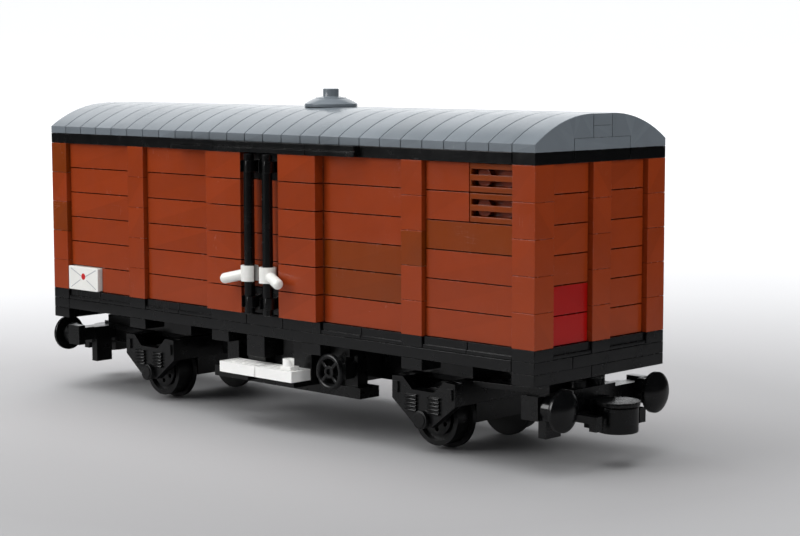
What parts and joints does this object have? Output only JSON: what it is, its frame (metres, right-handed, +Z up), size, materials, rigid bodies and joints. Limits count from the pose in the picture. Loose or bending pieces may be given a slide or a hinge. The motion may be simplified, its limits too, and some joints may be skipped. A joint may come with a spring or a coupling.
{
  "type": "model railway box car",
  "caption": "Brick-built model railway box car with curved roof, recessed plank bays, door lock bars, swivelling single-axle trucks, buffers and round magnet couplers.",
  "frame": {"origin": "midway along and across the car, at the height where the wheel treads stand on the rails", "axes": "+X along the car towards the end with the grilles on the near side, +Y to the far side, +Z up"},
  "size_m": [0.2314, 0.069, 0.0997],
  "materials": {
    "reddish_brown_plastic": "glossy moulded plastic, reddish brown with older brown and dark red bricks among it",
    "black_plastic": "glossy black moulded plastic",
    "dark_grey_plastic": "glossy grey moulded plastic",
    "white_plastic": "glossy white moulded plastic",
    "inner_structure_plastic": "moulded plastic, hidden inside the walls",
    "axle_steel": "drawn steel"
  },
  "bodies": {
    "car_body": {"bar_clip_plates": "black_plastic", "bay_backing_plates": "inner_structure_plastic", "brake_beam": "black_plastic", "brake_stand": "black_plastic", "corner_pillar_bricks": "reddish_brown_plastic", "door_centre_tiles": "reddish_brown_plastic", "door_header_rails": "black_plastic", "door_leaf_tiles": "reddish_brown_plastic", "end_bay_tiles": "reddish_brown_plastic", "end_pillar_bricks": "reddish_brown_plastic", "end_sill_plates": "black_plastic", "end_wall_core": "inner_structure_plastic", "envelope_tiles": "white_plastic", "floor_deck": "inner_structure_plastic", "grille_stud_plates": "inner_structure_plastic", "grille_tiles": "reddish_brown_plastic", "pivot_boss": "black_plastic", "roof_base_plates": "dark_grey_plastic", "roof_curved_slices": "dark_grey_plastic", "roof_ridge_plates": "dark_grey_plastic", "roof_ridge_tiles": "dark_grey_plastic", "side_bay_tiles": "reddish_brown_plastic", "side_pillar_bricks": "reddish_brown_plastic", "side_wall_core": "inner_structure_plastic", "sill_blocks": "black_plastic", "sill_pillar_plates": "black_plastic", "sill_rail_plates": "black_plastic", "step_boards": "white_plastic", "step_clip": "white_plastic", "step_hangers": "black_plastic", "top_band_plates": "black_plastic", "underframe_plate": "black_plastic", "vent_dish": "dark_grey_plastic", "vent_post": "dark_grey_plastic"},
    "truck_front": {"truck_frame_front": "black_plastic", "side_frames_front": "black_plastic", "buffer_beam_front": "black_plastic", "buffers_front": "black_plastic", "coupler_holder_front": "black_plastic"},
    "wheelset_front": {"axle_front": "axle_steel", "wheels_front": "black_plastic"},
    "magnet_front": {"coupler_magnet_front": "black_plastic"},
    "truck_rear": {"truck_frame_rear": "black_plastic", "side_frames_rear": "black_plastic", "buffer_beam_rear": "black_plastic", "buffers_rear": "black_plastic", "coupler_holder_rear": "black_plastic"},
    "wheelset_rear": {"axle_rear": "axle_steel", "wheels_rear": "black_plastic"},
    "magnet_rear": {"coupler_magnet_rear": "black_plastic"},
    "lock_near_left": {"lock_bar_near_left": "black_plastic", "lock_handle_near_left": "white_plastic"},
    "lock_near_right": {"lock_bar_near_right": "black_plastic", "lock_handle_near_right": "white_plastic"},
    "brakewheel_near": {"handwheel_near": "black_plastic"},
    "lock_far_left": {"lock_bar_far_left": "black_plastic", "lock_handle_far_left": "white_plastic"},
    "lock_far_right": {"lock_bar_far_right": "black_plastic", "lock_handle_far_right": "white_plastic"},
    "brakewheel_far": {"handwheel_far": "black_plastic"}
  },
  "joints": [
    {"name": "truck_front_swivel", "type": "hinge", "parent": "car_body", "child": "truck_front", "pos_m": [0.06, 0, 0.0194], "axis": [0, 0, 1], "range_deg": [-15, 15]},
    {"name": "wheelset_front_spin", "type": "hinge", "parent": "truck_front", "child": "wheelset_front", "pos_m": [0.06, 0, 0.0082], "axis": [0, 1, 0], "continuous": true},
    {"name": "magnet_front_spin", "type": "hinge", "parent": "truck_front", "child": "magnet_front", "pos_m": [0.1097, 0, 0.012], "axis": [0, 0, 1], "continuous": true},
    {"name": "truck_rear_swivel", "type": "hinge", "parent": "car_body", "child": "truck_rear", "pos_m": [-0.06, 0, 0.0194], "axis": [0, 0, 1], "range_deg": [-15, 15]},
    {"name": "wheelset_rear_spin", "type": "hinge", "parent": "truck_rear", "child": "wheelset_rear", "pos_m": [-0.06, 0, 0.0082], "axis": [0, 1, 0], "continuous": true},
    {"name": "magnet_rear_spin", "type": "hinge", "parent": "truck_rear", "child": "magnet_rear", "pos_m": [-0.1097, 0, 0.012], "axis": [0, 0, 1], "continuous": true},
    {"name": "lock_near_left_turn", "type": "hinge", "parent": "car_body", "child": "lock_near_left", "pos_m": [-0.004, -0.0299, 0.0446], "axis": [0, 0, 1], "range_deg": [0, 60]},
    {"name": "lock_near_right_turn", "type": "hinge", "parent": "car_body", "child": "lock_near_right", "pos_m": [0.004, -0.0299, 0.0446], "axis": [0, 0, 1], "range_deg": [-60, 0]},
    {"name": "brakewheel_near_turn", "type": "hinge", "parent": "car_body", "child": "brakewheel_near", "pos_m": [0.028, -0.028, 0.0184], "axis": [0, 1, 0], "continuous": true},
    {"name": "lock_far_left_turn", "type": "hinge", "parent": "car_body", "child": "lock_far_left", "pos_m": [0.004, 0.0299, 0.0446], "axis": [0, 0, 1], "range_deg": [0, 60]},
    {"name": "lock_far_right_turn", "type": "hinge", "parent": "car_body", "child": "lock_far_right", "pos_m": [-0.004, 0.0299, 0.0446], "axis": [0, 0, 1], "range_deg": [-60, 0]},
    {"name": "brakewheel_far_turn", "type": "hinge", "parent": "car_body", "child": "brakewheel_far", "pos_m": [-0.028, 0.028, 0.0184], "axis": [0, 1, 0], "continuous": true}
  ]
}
